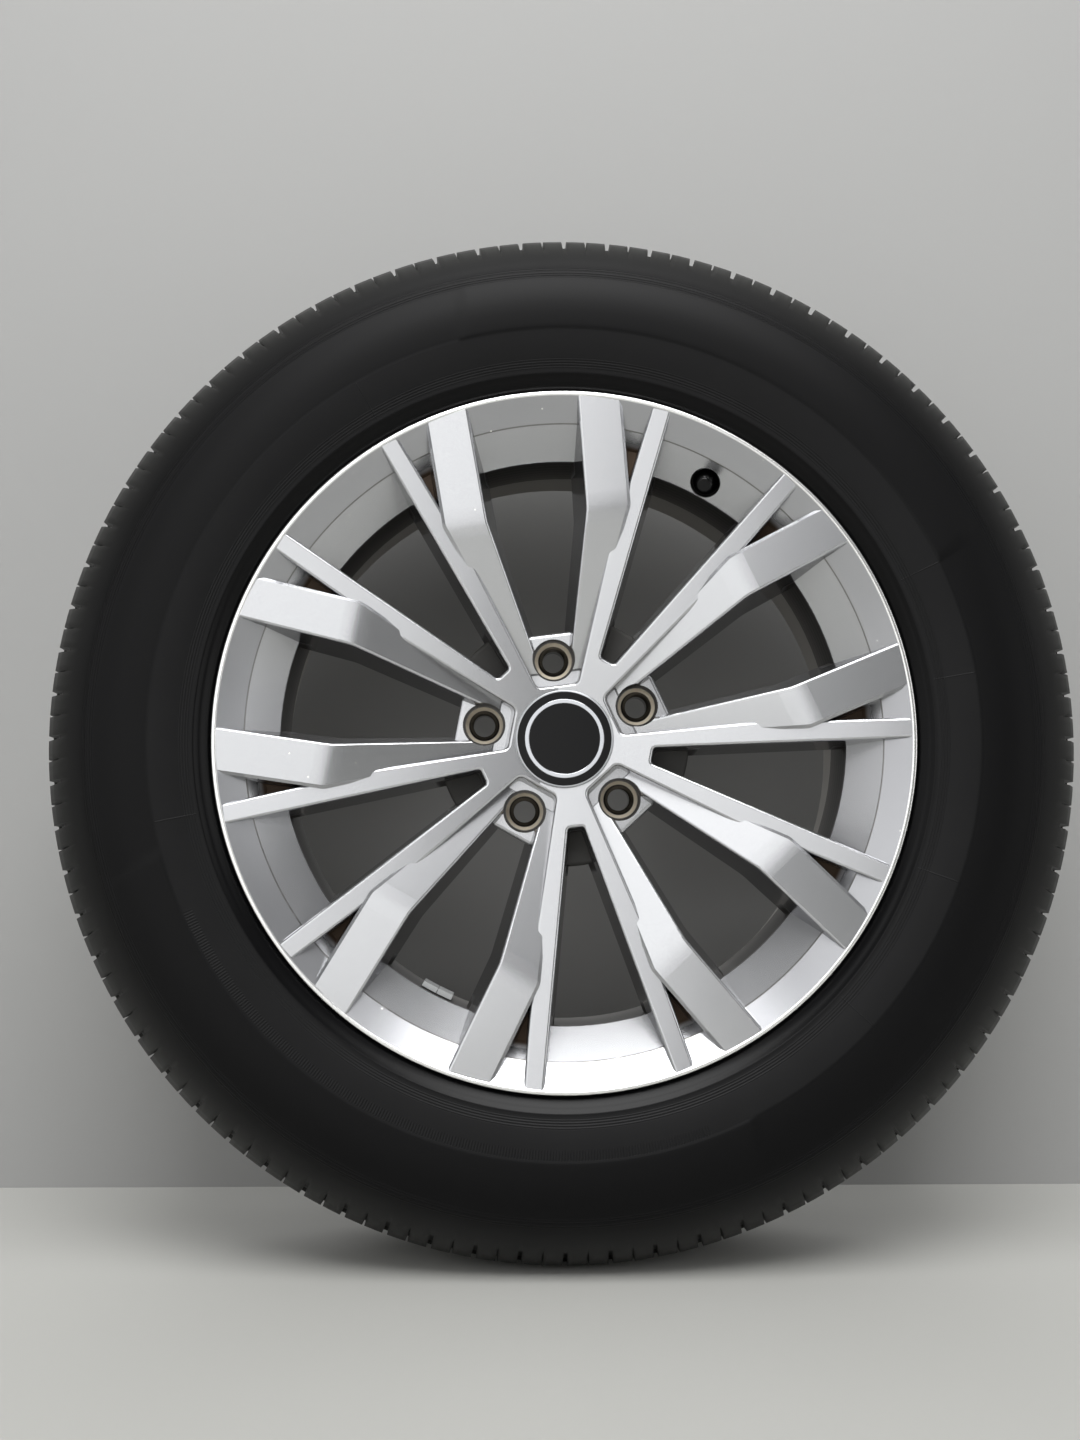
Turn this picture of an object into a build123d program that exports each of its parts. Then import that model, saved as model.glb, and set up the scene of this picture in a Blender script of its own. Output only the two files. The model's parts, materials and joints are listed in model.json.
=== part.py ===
from build123d import *

import os
from math import cos, degrees, hypot, radians, sin, sqrt, tan

# Alloy road wheel with its tyre, centre cap, snap-in valve and balance weights, in millimetres.
# The wheel is drawn lying down, with x to the right, y up and z towards its outboard face.
# stand_up turns each finished piece, so that +Z is up and the outboard face looks along -Y.
# The origin is on the wheel's axis, in the middle plane of the rim.

# Rim, a seventeen inch by seven inch drop-centre barrel
seat_diameter = 436.6       # bead seat, at the foot of the flange
rim_width = 177.8           # between the two flanges
seat_width = 22.9           # bead seat, along the axis
seat_taper = 5.0            # degrees
heel_round = 6.5            # corner between bead seat and flange
flange_straight = 1.5       # flat of the flange between heel and curl
flange_curl = 9.5           # rounding of the flange on the tyre's side
lip_nose = 2.6              # what the lip stands out past the curl
lip_edge = 2.4              # bright front edge of the lip, across
lip_outer_round = 1.3
lip_inner_round = 0.8
lip_band_width = 17.9       # first cone inside the lip, across
lip_band_depth = 10.0       # and its depth
band_round = 1.0
throat_depth = 31.0         # from the lip to the narrowest edge of the barrel
throat_round = 1.0
seat_round = 3.0            # where a bead seat ends
well_depth = 17.8           # well floor below the bead seat
well_width = 42.0           # well floor, along the axis
well_slope = 30.0           # degrees, from the well up to the inboard ledge
well_front_round = 6.0
well_round = 10.0
ledge_drop = 5.0            # inboard ledge below the bead seat
barrel_wall = 6.2           # wall of well and ledge
barrel_round = 12.0
rear_wall = 7.0             # wall under the inboard bead seat
rear_chamfer = 12.0         # hollow behind the inboard flange
rear_lip_width = 8.6        # flat edge of the inboard flange
rear_round = 3.0

# Hub and bolt pattern
wheel_offset = 40.0         # mounting face in front of the rim's middle plane
hub_bore = 57.1
hub_bore_length = 12.0
bolt_circle = 112.0
bolt_count = 5
bolt_hole = 15.0
ball_seat_radius = 14.0     # the seat that the ball of a bolt's head presses on
ball_seat_width = 26.0      # across the seat's outer edge
seat_floor = 12.4           # metal under the ball seat
counterbore = 29.5          # ring round the ball seat
pad_thickness = 24.0        # hub, from the mounting face to the bolt pads
pad_edge = 19.0             # from a bolt's axis to its pad's outer edge
hub_radius = 87.0           # hub body between the bolt pads
hub_edge_round = 3.0
mount_radius = 78.0         # mounting face
relief_diameter = 24.0      # hollows in the mounting face between the bolts
relief_depth = 12.0
overcut = 1.0               # cuts reach this far past the faces that they open

# Spokes. Bars stand in pairs as a V, blades stand in pairs on each side of a bolt pocket.
spoke_turn = 7.2            # degrees, first bolt pocket from the top, counter-clockwise
bar_draft = 4.0             # degrees, the bars' side walls open towards the back
blade_draft = 8.0           # and the blades' side walls
spoke_back = 14.0           # back of the spokes at the rim, behind the throat
spoke_weld = 2.2            # how far the spokes run into the rim's metal
spoke_round = 2.0           # rounding of the upper edges
pocket_wall = 3.3           # between the centre cap and a bolt pocket
pocket_half = 14.0          # half of that edge's length
pocket_round = 5.0
vee_root = 60.5             # from the axis to the root of the V
vee_root_half = 5.3         # half of the V's gap at its root
vee_rim_half = 43.4         # half of the V's gap at the lip
vee_round = 2.5
bar_waist_run = 69.7        # along the bar, from the V's root to the bar's waist
bar_waist = 14.8            # bar's width there
bar_waist_round = 40.0
bar_tip = 13.5              # bar's width at the lip
bar_hub_depth = 18.5        # bar's upper face below the lip, at the V's root
bar_rim_depth = 0.4         # and at the lip
blade_kink = 152.2          # from the axis, along the pocket's middle line
blade_root = 52.0           # where a blade comes out of the hub
window_root_half = 15.0     # half of the window between two blades, at the root
window_kink_half = 34.3     # at the kink
window_rim_half = 37.8      # and at the lip
blade_tip = 27.9            # blade's width at the lip
blade_lap = 2.9             # how far a blade reaches over the bar beside it
blade_root_depth = 30.0     # blade's upper face below the lip, at the root
blade_kink_depth = 3.5
blade_rim_depth = 0.2
blade_crease_round = 90.0   # soft crease across the blade
blade_kink_round = 10.0
window_kink_round = 30.0
blade_steepest = 30.0       # degrees, more than any part of a blade's upper face leans
blade_chamfer = 1.8         # sloping edge between blade and bar
slot_depth = 21.0           # floor of the slot between bar and blade, below the lip
hollow_hub = 11.0           # weight-saving hollow in the back of a spoke, from the hub's edge
hollow_rim = 16.3           # and from the barrel's inner wall
hollow_wall = 8.0           # metal on each side of a hollow
hollow_roof = 10.0          # metal between a hollow and the floor of the slot
hollow_round = 4.0

# Tyre
tyre_diameter = 711.2
section_width = 226.0
bulge_place = 0.4525        # widest place, as a part of the height from flange to crown
shoulder_drop = 11.6        # shoulder below the crown
shoulder_half = 87.0        # half width at the shoulder
tread_half = 72.0           # half width of the tread
tread_drop = 4.1            # from the crown to the tread's edge
bead_width = 17.0
bead_gap = 0.05             # between tyre and rim
heel_ease = 0.2             # the bead's heel is rounder than the rim's
flange_cover = 0.8          # how far the tyre's side hugs the flange past its curl
wall_thickness = 7.5
bead_thickness = 16.0
crown_thickness = 16.5
groove_width = 9.0
groove_depth = 7.5
groove_count = 4
groove_pitch = 31.0
slot_count = 72             # cross slots in each shoulder
slot_width = 3.4
slot_sink = 5.5
slot_inner = 58.0           # where a cross slot starts, from the middle plane

# Centre cap
cap_bore_step = 3.9         # cap's bore is wider than the hub's bore
cap_brim = 2.8              # cap's edge stands over its bore
cap_gap = 0.3               # round the cap's edge
cap_edge = 5.0              # cap's thickness at its edge
cap_recess = 3.0            # depth of the seat in the hub, at the V's root
cap_bezel = 1.3             # silver ring round the black disc
disc_thickness = 1.6
disc_proud = 0.4
chrome_outer = 54.0
chrome_inner = 48.0
chrome_height = 1.2
chrome_round = 0.4
chrome_sink = 0.6
leg_count = 10
leg_height = 15.0
leg_thickness = 2.0
leg_width = 9.0
leg_gap = 0.2
hook_reach = 1.0
hook_height = 3.0
hook_groove_gap = 0.3
spring_wire = 1.6
spring_ring_arc = 345.0     # degrees, the ring is open
fit_gap = 0.02              # between pieces that are glued, bonded or clipped

# Valve, along its own axis from the middle of the rim's wall
valve_tilt = 20.0           # degrees from the wheel's axis
valve_radius = 208.5        # from the wheel's axis, at the back of the wall
valve_wall = 4.0
valve_hole = 11.5
valve_spotface = 21.0
stem_gap = 0.3              # round the stem's bulb
stem_shoulder = 18.6
stem_shoulder_top = 17.9
stem_shoulder_height = 3.0
stem_shoulder_round = 3.0
stem_waist = 12.3
stem_waist_height = 8.8
stem_waist_round = 6.0
stem_tip = 10.0
stem_length = 21.0
stem_edge_round = 0.8
stem_bulb = 16.4
stem_bulb_length = 9.0
stem_bulb_flat = 5.4        # straight part of the bulb
stem_bulb_round = 2.0
stem_foot = 11.5
tube_diameter = 6.8
thread_diameter = 7.7
thread_length = 11.0
tube_chamfer = 0.4
core_thread = 5.2
core_bore = 4.0
core_plug_length = 6.0
core_plug_slot = 2.1        # key slot across the plug
core_barrel_diameter = 3.5
core_barrel_bore = 2.7
core_barrel_length = 12.0
core_floor = 1.2            # floor and collar of the barrel
core_seat_rise = 4.0        # seat in the tube, above the foot of the barrel
gasket_length = 3.0
pin_diameter = 1.3
pin_collar = 2.4
pin_collar_length = 1.0
seal_diameter = 3.2
seal_thickness = 1.5
pin_recess = 0.4            # pin's tip below the tube's end
spring_diameter = 2.2
spring_wire_diameter = 0.3
spring_turns = 8
valve_cap_wall = 1.0
valve_cap_roof = 2.0
valve_cap_round = 1.2
valve_cap_gap = 0.4         # under the cap, above the stem
valve_cap_flutes = 12
flute_diameter = 1.6
flute_sink = 0.4
cap_seal_thickness = 1.3
running_gap = 0.05          # between pieces that turn or slide

# Balance weights, stuck inside the barrel behind its throat
weight_angle = 243.2        # degrees from the right, counter-clockwise
weight_count = 2
weight_length = 11.0
weight_split = 0.4
weight_width = 19.0
weight_thickness = 3.6
weight_setback = 7.0        # behind the throat's edge
tape_thickness = 0.8

# Sizes that follow from those above
seat_r = seat_diameter / 2
flange_r = seat_r + heel_round + flange_straight + flange_curl
half_width = rim_width / 2
lip_z = half_width + flange_curl + lip_nose
lip_r = flange_r - lip_edge
band_r = lip_r - lip_band_width
band_z = lip_z - lip_band_depth
well_r = seat_r - well_depth
throat_r = well_r - barrel_wall
throat_z = lip_z - throat_depth
seat_end_r = seat_r - seat_width * tan(radians(seat_taper))
seat_end_z = half_width - seat_width
well_front_z = seat_end_z - (seat_end_r - well_r) * tan(radians(valve_tilt))
well_back_z = well_front_z - well_width
ledge_r = seat_r - ledge_drop
ledge_z = well_back_z - (ledge_r - well_r) / tan(radians(well_slope))
mount_z = wheel_offset
pad_z = mount_z + pad_thickness
sector = 360 / bolt_count
half_sector = sector / 2
first_pocket = 90 + spoke_turn
cap_bore = hub_bore + cap_bore_step
cap_diameter = cap_bore + 2 * cap_brim
pocket_flat = cap_diameter / 2 + pocket_wall
pad_flat = bolt_circle / 2 + pad_edge
spoke_rim_depth = throat_depth + spoke_back
spoke_reach = spoke_rim_depth + bar_hub_depth
overrun = 5 * lip_edge      # spokes are drawn this far past the lip, and trimmed
vee_rim = sqrt(lip_r ** 2 - vee_rim_half ** 2)
bar_slope = (bar_hub_depth - bar_rim_depth) / (vee_rim - vee_root)
bar_axis_z = lip_z - bar_hub_depth - bar_slope * vee_root
cap_seat_z = bar_axis_z + bar_slope * cap_diameter / 2 - cap_recess
hook_z = cap_seat_z - leg_height
disc_top_z = cap_seat_z + cap_edge + disc_proud
tube_end = stem_length + thread_length
plug_low = tube_end - pin_recess - core_plug_length
barrel_low = plug_low - core_barrel_length
core_low = barrel_low + core_seat_rise
seal_low = barrel_low - running_gap - seal_thickness
collar_low = plug_low - running_gap - pin_collar_length
cap_seal_top = tube_end + running_gap + cap_seal_thickness
crown_r = tyre_diameter / 2
section_r = flange_r + bulge_place * (crown_r - flange_r)
strip_length = weight_count * weight_length + (weight_count - 1) * weight_split


def stand_up(piece):
    return Rot(90, 0, 0) * piece


def turned(profile):
    return revolve(Plane.XZ * profile, axis=Axis.Z)


def rounded_face(corners):
    # corners are (across, along, rounding) in order round the outline
    points = [(across, along) for across, along, _ in corners]
    return make_face(FilletPolyline(*points, radius=[corner[2] for corner in corners], close=True))


def grown(corners, amount):
    # the same outline, counter-clockwise, with every side moved out by amount
    count = len(corners)
    points = [Vector(across, along) for across, along, _ in corners]
    ways = [(points[(k + 1) % count] - points[k]).normalized() for k in range(count)]
    result = []
    for k in range(count):
        before, after = ways[k - 1], ways[k]
        turn = before.X * after.Y - before.Y * after.X
        shift = (before - after) * (amount / turn)
        rounding = corners[k][2]
        if rounding and turn > 0:
            rounding += amount
        elif rounding:
            rounding = max(rounding - amount, rounding / 5)
        result.append((points[k].X + shift.X, points[k].Y + shift.Y, rounding))
    return result


def drafted(plane, corners, depth, draft):
    # a block under the outline on the plane, whose side walls open downwards by the draft
    upper = plane * rounded_face(corners)
    spread = depth * tan(radians(draft))
    lower = plane * Pos(0, 0, -depth) * rounded_face(grown(corners, spread))
    return loft([upper, lower], ruled=True)


def around(piece, count, start=0.0):
    return [Rot(0, 0, start + k * 360 / count) * piece for k in range(count)]


def tube(outer, inner, low, high):
    return rod(outer, low, high) - rod(inner, low, high)


def rod(radius, low, high):
    return Pos(0, 0, (low + high) / 2) * Cylinder(radius, high - low)


def rim_barrel():
    lip_round = min(lip_outer_round, 0.9 * lip_nose)
    return turned(rounded_face([
        (lip_r, lip_z, lip_inner_round),
        (flange_r, lip_z, lip_round),
        (flange_r, half_width, flange_curl),
        (seat_r, half_width, heel_round),
        (seat_end_r, seat_end_z, seat_round),
        (well_r, well_front_z, well_front_round),
        (well_r, well_back_z, well_round),
        (ledge_r, ledge_z, well_round),
        (seat_end_r, -seat_end_z, seat_round),
        (seat_r, -half_width, heel_round),
        (flange_r, -half_width, flange_curl),
        (flange_r, -lip_z, lip_round),
        (flange_r - rear_lip_width, -lip_z, rear_round),
        (seat_r - rear_wall, rear_chamfer - lip_z, rear_round),
        (ledge_r - barrel_wall, ledge_z, barrel_round),
        (throat_r, well_back_z, barrel_round),
        (throat_r, throat_z, throat_round),
        (band_r, band_z, band_round),
    ]))


def spoke_space():
    # the room that spokes and hub may fill: behind the lip, and just inside the barrel's metal
    outer_r = throat_r + spoke_weld
    return turned(make_face(Polyline(
        (0, mount_z),
        (mount_radius, mount_z),
        (outer_r, lip_z - spoke_rim_depth),
        (outer_r, throat_z - spoke_weld / 2),
        (band_r + spoke_weld, band_z - spoke_weld),
        (lip_r, lip_z - spoke_weld / 2),
        (lip_r, lip_z + bar_hub_depth),
        (0, lip_z + bar_hub_depth),
        close=True,
    )))


def to_vee(x, y):
    # from the pocket's own axes to the axes of the V beside it
    turn = radians(half_sector)
    return x * cos(turn) + y * sin(turn), y * cos(turn) - x * sin(turn)


def from_vee(u, v):
    turn = radians(half_sector)
    return u * cos(turn) - v * sin(turn), u * sin(turn) + v * cos(turn)


def bar_outline():
    # one bar's four corners in the V's axes, on the side of the pocket, and its waist
    edge = Vector(vee_rim - vee_root, vee_root_half - vee_rim_half).normalized()
    across = Vector(edge.Y, -edge.X)
    root = Vector(vee_root, -vee_root_half)
    rim = Vector(vee_rim, -vee_rim_half)
    waist = root + edge * bar_waist_run + across * bar_waist
    tip = rim + across * bar_tip
    run = (tip - waist).normalized()
    return root, rim + edge * overrun, tip + run * overrun, waist


def bar_edge_at(x):
    # the bar's pocket-side edge, as y over x in the pocket's axes
    root, rim, tip, waist = bar_outline()
    hub = Vector(pocket_flat, pocket_half)
    waist = Vector(*from_vee(waist.X, waist.Y))
    tip = Vector(*from_vee(tip.X, tip.Y))
    low, high = (hub, waist) if x < waist.X else (waist, tip)
    return low.Y + (high.Y - low.Y) * (x - low.X) / (high.X - low.X)


def vee_bars():
    # two bars and the web between them, drawn on their common sloping upper face
    root, rim, tip, waist = bar_outline()
    hub = to_vee(pocket_flat, pocket_half)
    past = to_vee(pocket_flat, -pocket_half / 2)
    stretch = sqrt(1 + bar_slope ** 2)
    side = [
        (past[0], past[1], 0),
        (hub[0], hub[1], pocket_round),
        (waist.X, waist.Y, bar_waist_round),
        (tip.X, tip.Y, 0),
        (rim.X, rim.Y, 0),
        (root.X, root.Y, vee_round),
    ]
    other = [(u, -v, rounding) for u, v, rounding in reversed(side)]
    outline = [(u * stretch, v, rounding) for u, v, rounding in [(0, 0, 0)] + side + other]
    face = Plane(origin=(0, 0, bar_axis_z), x_dir=(1, 0, bar_slope), z_dir=(-bar_slope, 0, 1))
    bars = drafted(face, outline, spoke_reach, bar_draft)
    upper = bars.faces().sort_by(Axis(face.origin, face.z_dir))[-1]
    middles = [(edge, edge.center()) for edge in upper.edges()]
    places = [(edge, hypot(middle.X, middle.Y)) for edge, middle in middles]
    keep = [edge for edge, r in places if cap_diameter / 2 < r < lip_r + lip_edge]
    return fillet(keep, spoke_round)


def window_edge_at(x):
    # the blade's edge along the window, as y over x in the pocket's axes
    start, low, end, high = blade_root, window_root_half, blade_kink, window_kink_half
    if x > blade_kink:
        start, low, end, high = blade_kink, window_kink_half, lip_r, window_rim_half
    return low + (high - low) * (x - start) / (end - start)


def blade():
    # one blade in the pocket's axes, on the side of positive y
    past = lip_r + overrun
    reach = blade_lap + blade_chamfer
    waist = bar_outline()[3]
    waist_x = from_vee(waist.X, waist.Y)[0]
    kink_y = bar_edge_at(blade_kink) + reach
    rim_y = window_rim_half + blade_tip + blade_chamfer
    past_y = kink_y + (rim_y - kink_y) * (past - blade_kink) / (lip_r - blade_kink)
    outline = [
        (blade_root, window_root_half, 0),
        (blade_kink, window_kink_half, window_kink_round),
        (past, window_edge_at(past), 0),
        (past, past_y, 0),
        (blade_kink, kink_y, blade_kink_round),
        (waist_x, bar_edge_at(waist_x) + reach, bar_waist_round),
        (blade_root, bar_edge_at(blade_root) + reach, 0),
    ]
    body = drafted(Plane.XY.offset(lip_z), outline, spoke_reach, blade_draft)
    rise = (blade_root_depth - blade_kink_depth) / (blade_kink - blade_root)
    fall = (blade_kink_depth - blade_rim_depth) / (lip_r - blade_kink)
    start = blade_root - spoke_reach
    end = past + spoke_reach
    kink_z = lip_z - blade_kink_depth
    foot_z = kink_z - 2 * spoke_reach
    profile = rounded_face([
        (start, foot_z, 0),
        (end, foot_z, 0),
        (end, kink_z + fall * (end - blade_kink), 0),
        (blade_kink, kink_z, blade_crease_round),
        (start, kink_z - rise * (blade_kink - start), 0),
    ])
    body = body & extrude(Plane.XZ * profile, amount=past, both=True)
    body = chamfer(blade_edges(body, beside_bar=True), blade_chamfer)
    return fillet(blade_edges(body, beside_bar=False), spoke_round)


def blade_edges(body, beside_bar):
    # the long edges of a blade's upper faces, beside the bar or beside the window
    steepest = cos(radians(blade_steepest))
    upper = body.faces().filter_by(lambda face: face.normal_at().Z > steepest)
    found = []
    for edge in upper.edges():
        middle = edge.center()
        along = edge.tangent_at(0.5)
        far = middle.Y > window_edge_at(middle.X) + bar_tip / 2
        if abs(along.X) > abs(along.Y) and far == beside_bar:
            found.append(edge)
    return found


def slot_floor():
    # metal under the blind slot between a bar and the blade beside it
    past = lip_r + lip_edge
    turned_x = past * cos(radians(half_sector / 2))
    under_bar = bar_tip / 2
    outline = Polyline(
        (blade_kink, window_kink_half + bar_tip),
        (past, window_rim_half + bar_tip),
        (turned_x, bar_edge_at(turned_x) + under_bar),
        (blade_kink, bar_edge_at(blade_kink) + under_bar),
        close=True,
    )
    return extrude(Pos(0, 0, lip_z - slot_depth) * make_face(outline), amount=-spoke_rim_depth)


def spoke_hollow():
    # tool for the hollow behind one blade and its bar, open to the back
    root, rim, _, _ = bar_outline()
    root = Vector(*from_vee(root.X, root.Y))
    rim = Vector(*from_vee(rim.X, rim.Y))
    corners = []
    for x in (hub_radius + hollow_hub, throat_r - hollow_rim):
        gap_y = root.Y + (rim.Y - root.Y) * (x - root.X) / (rim.X - root.X)
        corners.append((x, window_edge_at(x) + hollow_wall, gap_y - hollow_wall))
    (start, start_low, start_high), (end, end_low, end_high) = corners
    outline = [
        (start, start_low, hollow_round),
        (end, end_low, hollow_round),
        (end, end_high, hollow_round),
        (start, start_high, hollow_round),
    ]
    top = lip_z - slot_depth - hollow_roof
    return drafted(Plane.XY.offset(top), outline, top - mount_z + overcut, bar_draft)


def hub_body():
    flats = RegularPolygon(pad_flat, bolt_count, major_radius=False, rotation=half_sector)
    body = extrude(Pos(0, 0, mount_z) * (Circle(hub_radius) & flats), amount=pad_thickness)
    return fillet(body.faces().sort_by(Axis.Z)[-1].edges(), hub_edge_round)


def bolt_seat():
    # tool for one bolt hole with its ball seat and counterbore
    hole_r = bolt_hole / 2
    ball_z = mount_z + seat_floor + sqrt(ball_seat_radius ** 2 - hole_r ** 2)
    ring_r = counterbore / 2
    ring_z = ball_z - sqrt(ball_seat_radius ** 2 - (ball_seat_width / 2) ** 2)
    seat = Pos(0, 0, ball_z) * Sphere(ball_seat_radius)
    return rod(hole_r, mount_z - overcut, pad_z) + seat + rod(ring_r, ring_z, lip_z)


def valve_plane():
    # origin in the middle of the rim's wall at the valve, z outwards along the valve
    turn = radians(first_pocket - half_sector)
    lean = radians(valve_tilt)
    back_z = seat_end_z - (seat_end_r - valve_radius) * tan(lean)
    across = valve_radius - sin(lean) * valve_wall / 2
    along = back_z + cos(lean) * valve_wall / 2
    return Plane(
        origin=(across * cos(turn), across * sin(turn), along),
        x_dir=(-sin(turn), cos(turn), 0),
        z_dir=(-sin(lean) * cos(turn), -sin(lean) * sin(turn), cos(lean)),
    )


def alloy_wheel():
    one = blade()
    floor = slot_floor()
    vees = around(vee_bars(), bolt_count, first_pocket + half_sector)
    blades = []
    for piece in (one, mirror(one, Plane.XZ), floor, mirror(floor, Plane.XZ)):
        blades += around(piece, bolt_count, first_pocket)
    spokes = (Rot(0, 0, first_pocket) * hub_body()).fuse(*vees, *blades) & spoke_space()
    wheel = rim_barrel().fuse(spokes)
    seats = around(Pos(bolt_circle / 2, 0, 0) * bolt_seat(), bolt_count, first_pocket)
    relief = Pos(bolt_circle / 2, 0, mount_z) * Cylinder(relief_diameter / 2, 2 * relief_depth)
    reliefs = around(relief, bolt_count, first_pocket + half_sector)
    hollow = spoke_hollow()
    hollows = around(hollow, bolt_count, first_pocket)
    hollows += around(mirror(hollow, Plane.XZ), bolt_count, first_pocket)
    groove_low = hook_z - hook_groove_gap
    groove_r = cap_bore / 2 + hook_reach
    bores = [
        rod(hub_bore / 2, mount_z - overcut, cap_seat_z),
        rod(cap_bore / 2, mount_z + hub_bore_length, lip_z),
        rod(groove_r, groove_low, groove_low + hook_height + 2 * hook_groove_gap),
        rod(cap_diameter / 2 + cap_gap, cap_seat_z, lip_z),
    ]
    wall = valve_wall / 2
    drill = rod(valve_hole / 2, -wall, wall) + rod(valve_spotface / 2, wall, throat_depth)
    drill += rod(stem_bulb / 2 + stem_gap, -wall - stem_bulb_length, -wall)
    return wheel.cut(*seats, *reliefs, *hollows, *bores, valve_plane() * drill)


def seat_at(z):
    # radius of the bead seat over the axis, on the outboard side
    return seat_r - (half_width - z) * tan(radians(seat_taper))


def tyre_side(sign):
    # half of the section's outline, from the crown's edge outside to the crown's edge inside
    flange = flange_r + bead_gap
    bead = half_width - bead_gap
    toe = half_width - bead_width
    wide = section_width / 2
    edge_r = crown_r - tread_drop
    points = {
        "edge": (edge_r, tread_half),
        "shoulder": (crown_r - shoulder_drop, shoulder_half),
        "wide": (section_r, wide),
        "rim": (flange, half_width + flange_curl + flange_cover),
        "bead": (flange, bead),
        "heel": (seat_r + bead_gap, bead),
        "toe": (seat_at(toe) + bead_gap, toe),
        "foot": (flange + bead_thickness / 2, half_width - bead_thickness / 2),
        "inner_wide": (section_r, wide - wall_thickness),
        "inner_edge": (edge_r - crown_thickness, tread_half),
    }
    at = {name: (r, sign * z) for name, (r, z) in points.items()}
    hug = [at["rim"], at["bead"], at["heel"], at["toe"]]
    return [
        Line(at["edge"], at["shoulder"]),
        TangentArc(at["wide"], at["shoulder"], tangent=(1, 0)),
        TangentArc(at["wide"], at["rim"], tangent=(-1, 0)),
        FilletPolyline(*hug, radius=[flange_curl + bead_gap, heel_round + heel_ease]),
        Line(at["toe"], at["foot"]),
        TangentArc(at["inner_wide"], at["foot"], tangent=(-1, 0)),
        TangentArc(at["inner_wide"], at["inner_edge"], tangent=(1, 0)),
    ], at


def tyre():
    front, at = tyre_side(1)
    back, under = tyre_side(-1)
    tread = ThreePointArc(at["edge"], (crown_r, 0), under["edge"])
    liner = ThreePointArc(at["inner_edge"], (crown_r - crown_thickness, 0), under["inner_edge"])
    lines = [*front, *back, tread, liner]
    section = make_face(Wire.combine([edge for line in lines for edge in line.edges()])[0])
    for k in range(groove_count):
        place = (k - (groove_count - 1) / 2) * groove_pitch
        section -= Pos(crown_r, place) * Rectangle(2 * groove_depth, groove_width)
    slot = Pos(crown_r, 0, 0) * Box(2 * slot_sink, slot_width, section_width)
    middle = Pos(crown_r, 0, 0) * Box(4 * slot_sink, 2 * slot_width, 2 * slot_inner)
    return turned(section).cut(*around(slot - middle, slot_count))


def cap_legs(inner, outer, low, high):
    ring = tube(outer, inner, low, high)
    bars = around(Pos(outer, 0, (low + high) / 2) * Box(outer, leg_width, high - low), leg_count)
    return ring & bars[0].fuse(*bars[1:])


def centre_cap():
    r = cap_diameter / 2
    low = cap_seat_z + fit_gap
    top = cap_seat_z + cap_edge
    leg_r = cap_bore / 2 - leg_gap
    plate = rod(r, low, top)
    plate = fillet(plate.faces().sort_by(Axis.Z)[-1].edges(), cap_bezel / 2)
    plate -= rod(r - cap_bezel, top - disc_thickness, top + overcut)
    legs = cap_legs(leg_r - leg_thickness, leg_r, hook_z, low)
    hooks = cap_legs(leg_r - leg_thickness, leg_r + hook_reach, hook_z, hook_z + hook_height)
    return plate.fuse(legs, hooks)


def cap_spring_ring():
    r = cap_bore / 2 - leg_gap - leg_thickness - spring_wire / 2 - fit_gap
    wire = Pos(r, hook_z + hook_height / 2) * Circle(spring_wire / 2)
    return revolve(Plane.XZ * wire, axis=Axis.Z, revolution_arc=spring_ring_arc)


def cap_face_disc():
    r = cap_diameter / 2 - cap_bezel - fit_gap
    top = disc_top_z
    disc = rod(r, cap_seat_z + cap_edge - disc_thickness + fit_gap, top)
    disc = fillet(disc.faces().sort_by(Axis.Z)[-1].edges(), disc_proud / 2)
    return disc - tube(chrome_outer / 2, chrome_inner / 2, top - chrome_sink, top + overcut)


def cap_chrome_ring():
    low = disc_top_z - chrome_sink + fit_gap
    ring = tube(chrome_outer / 2 - fit_gap, chrome_inner / 2 + fit_gap, low, low + chrome_height)
    return fillet(ring.faces().sort_by(Axis.Z)[-1].edges(), chrome_round)


def valve_stem():
    wall = valve_wall / 2
    neck = valve_hole / 2 - fit_gap
    bore = tube_diameter / 2 + fit_gap
    shoulder = stem_shoulder / 2
    bulb = stem_bulb / 2
    base = -wall - stem_bulb_length
    return turned(rounded_face([
        (bore, base, 0),
        (stem_foot / 2, base, stem_bulb_round),
        (bulb, -wall - stem_bulb_flat, stem_bulb_round),
        (bulb, -wall - fit_gap, stem_edge_round),
        (neck, -wall - fit_gap, 0),
        (neck, wall + fit_gap, 0),
        (shoulder, wall + fit_gap, stem_edge_round),
        (stem_shoulder_top / 2, wall + stem_shoulder_height, stem_shoulder_round),
        (stem_waist / 2, stem_waist_height, stem_waist_round),
        (stem_tip / 2, stem_length, stem_edge_round),
        (bore, stem_length, 0),
    ]))


def valve_tube():
    low = -valve_wall / 2 - stem_bulb_flat
    body = rod(tube_diameter / 2, low, tube_end)
    body += rod(thread_diameter / 2, stem_length + fit_gap, tube_end)
    body = chamfer(body.faces().sort_by(Axis.Z)[-1].edges(), tube_chamfer)
    return body - rod(core_bore / 2, low, tube_end) - rod(core_thread / 2, core_low, tube_end)


def valve_core_plug():
    top = plug_low + core_plug_length
    plug = tube(core_thread / 2 - fit_gap, pin_diameter / 2 + running_gap, plug_low, top)
    return plug - Pos(0, 0, top) * Box(core_thread, core_plug_slot, core_plug_length)


def valve_core_barrel():
    outer = core_barrel_diameter / 2
    inner = core_barrel_bore / 2
    shell = tube(outer, inner, barrel_low, plug_low - fit_gap)
    floor = tube(outer, pin_diameter / 2 + running_gap, barrel_low, barrel_low + core_floor)
    collar = tube(core_thread / 2 - fit_gap, outer, core_low + fit_gap, core_low + core_floor)
    return shell + floor + collar


def valve_core_gasket():
    low = core_low + core_floor + fit_gap
    inner = core_barrel_diameter / 2 + fit_gap
    return tube(core_thread / 2 - fit_gap, inner, low, low + gasket_length)


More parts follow.
